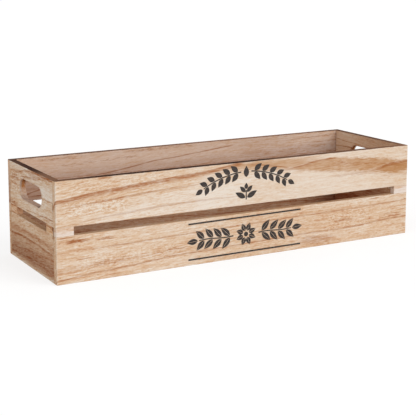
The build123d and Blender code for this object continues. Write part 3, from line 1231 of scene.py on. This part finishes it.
def soft_sun(name, towards, softness, strength):
    """A lamp so far away that it lights everything alike, from the given direction."""
    lamp = bpy.data.lights.new(name, "SUN")
    lamp.energy = strength
    lamp.angle = softness
    placed = bpy.data.objects.new(name, lamp)
    placed.rotation_euler = Vector(towards).to_track_quat("Z", "Y").to_euler()
    bpy.context.scene.collection.objects.link(placed)


def seen_directly(p):
    """1 for what the camera sees, also through glass or in a shiny face, and 0 for light on the crate."""
    path = p.results(p.node("ShaderNodeLightPath"))
    mirrored = p.larger(path["Is Glossy Ray"], path["Is Transmission Ray"])
    return p.larger(path["Is Camera Ray"], mirrored)


class CRATE_OT_front_boards(bpy.types.Operator):
    """Finish the two long boards of the front wall"""

    bl_idname = "crate.front_boards"
    bl_label = "Front boards"

    def execute(self, context):
        return finish_boards(context, FRONT_UPPER, FRONT_LOWER)


class CRATE_OT_back_boards(bpy.types.Operator):
    """Finish the two long boards of the back wall"""

    bl_idname = "crate.back_boards"
    bl_label = "Back boards"

    def execute(self, context):
        return finish_boards(context, BACK_UPPER, BACK_LOWER)


class CRATE_OT_end_boards(bpy.types.Operator):
    """Finish the boards of the two ends, with their hand holes"""

    bl_idname = "crate.end_boards"
    bl_label = "End boards"

    def execute(self, context):
        return finish_boards(context, LEFT_UPPER, LEFT_LOWER, RIGHT_UPPER, RIGHT_LOWER)


class CRATE_OT_spacers(bpy.types.Operator):
    """Finish the blocks that close the slots"""

    bl_idname = "crate.spacers"
    bl_label = "Spacer blocks"

    def execute(self, context):
        return finish_boards(context, *spacers())


class CRATE_OT_base(bpy.types.Operator):
    """Finish the panel that closes the bottom"""

    bl_idname = "crate.base"
    bl_label = "Base panel"

    def execute(self, context):
        return finish_boards(context, BASE)


class CRATE_OT_brads(bpy.types.Operator):
    """Tint the brads like the wood round them"""

    bl_idname = "crate.brads"
    bl_label = "Brads"

    def execute(self, context):
        material = brad_material(context.scene.crate_brads)
        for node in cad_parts:
            if node.endswith("_brads"):
                dress(node, material)
        return {"FINISHED"}


class CRATE_OT_print(bpy.types.Operator):
    """Print the rules, the sprays, the garland and the seedling on the front"""

    bl_idname = "crate.print"
    bl_label = "Front print"

    def execute(self, context):
        settings = context.scene.crate_print
        material = ink_material(settings)
        for draw in (print_rules, print_spray, print_garland, print_seedling):
            draw(settings, material)
        return {"FINISHED"}


class CRATE_OT_stage(bpy.types.Operator):
    """Set the floor, the soft light and the camera"""

    bl_idname = "crate.stage"
    bl_label = "Studio"

    # Where each soft lamp shines from, and how wide it looks
    KEY = ((0.50, -0.72, 0.50), radians(50))
    FILL = ((-0.85, -0.40, 0.35), radians(70))
    FLOOR_SIZE = 60.0
    FLOOR_COLOUR = (0.78, 0.78, 0.78, 1.0)
    # How much of the floor's own colour the camera sees, which keeps the shadow on it faint, and the light
    # that is added
    FLOOR_SEEN = 0.4
    FLOOR_LIFT = 0.74

    def floor(self):
        mesh = bpy.data.meshes.new("floor")
        shape = bmesh.new()
        bmesh.ops.create_grid(shape, x_segments=1, y_segments=1, size=self.FLOOR_SIZE / 2)
        bmesh.ops.translate(shape, verts=shape.verts, vec=(0, 0, cad_low.z))
        shape.to_mesh(mesh)
        shape.free()
        piece = bpy.data.objects.new("floor", mesh)
        bpy.context.scene.collection.objects.link(piece)
        material = bpy.data.materials.new("white floor")
        material.use_nodes = True
        material.node_tree.nodes.clear()
        p = Pattern(material.node_tree)
        seen = seen_directly(p)
        dimmed = [channel * self.FLOOR_SEEN for channel in self.FLOOR_COLOUR[:3]]
        colour = p.mix(seen, self.FLOOR_COLOUR, (*dimmed, 1.0))
        matte = p.value("ShaderNodeBsdfDiffuse", {"Color": colour})
        lift = p.value("ShaderNodeEmission", {"Strength": seen * self.FLOOR_LIFT})
        both = p.value("ShaderNodeAddShader", {0: matte, 1: lift})
        p.feed(p.node("ShaderNodeOutputMaterial").inputs["Surface"], both)
        mesh.materials.append(material)

    def light(self, stage):
        soft_sun("key", *self.KEY, stage.key)
        soft_sun("fill", *self.FILL, stage.fill)
        world = bpy.data.worlds.new("room")
        world.use_nodes = True
        bpy.context.scene.world = world
        p = Pattern(world.node_tree)
        background = world.node_tree.nodes["Background"]
        background.inputs["Color"].default_value = (1, 1, 1, 1)
        seen = seen_directly(p)
        p.feed(background.inputs["Strength"], p.smooth(seen, 0, 1, stage.sky, 1.0))

    def camera(self):
        data = bpy.data.cameras.new("camera")
        data.lens = CAMERA_LENS
        data.shift_y = CAMERA_SHIFT
        camera = bpy.data.objects.new("camera", data)
        camera.location = CAMERA_PLACE
        camera.rotation_euler = Euler((pi / 2 - CAMERA_ELEVATION, 0, CAMERA_AZIMUTH))
        bpy.context.scene.collection.objects.link(camera)
        bpy.context.scene.camera = camera

    def execute(self, context):
        self.floor()
        self.light(context.scene.crate_stage)
        self.camera()
        context.scene.view_settings.view_transform = "Standard"
        return {"FINISHED"}


STEPS = (
    CRATE_OT_front_boards,
    CRATE_OT_back_boards,
    CRATE_OT_end_boards,
    CRATE_OT_spacers,
    CRATE_OT_base,
    CRATE_OT_brads,
    CRATE_OT_print,
    CRATE_OT_stage,
)


class CRATE_PT_panel(bpy.types.Panel):
    """The steps that finish the crate"""

    bl_idname = "CRATE_PT_panel"
    bl_label = "Planter crate"
    bl_space_type = "VIEW_3D"
    bl_region_type = "UI"
    bl_category = "Crate"

    def draw(self, context):
        for step in STEPS:
            self.layout.operator(step.bl_idname)


SETTINGS = {
    "crate_wood": WoodSettings,
    "crate_brads": BradSettings,
    "crate_print": PrintSettings,
    "crate_stage": StageSettings,
}


def register():
    for kind in (*SETTINGS.values(), *STEPS, CRATE_PT_panel):
        bpy.utils.register_class(kind)
    for name, kind in SETTINGS.items():
        setattr(bpy.types.Scene, name, bpy.props.PointerProperty(type=kind))


def unregister():
    for name in SETTINGS:
        delattr(bpy.types.Scene, name)
    for kind in (CRATE_PT_panel, *STEPS[::-1], *SETTINGS.values()):
        bpy.utils.unregister_class(kind)


def main():
    register()
    for step in STEPS:
        section, name = step.bl_idname.split(".")
        getattr(getattr(bpy.ops, section), name)()


if __name__ == "__main__":
    main()
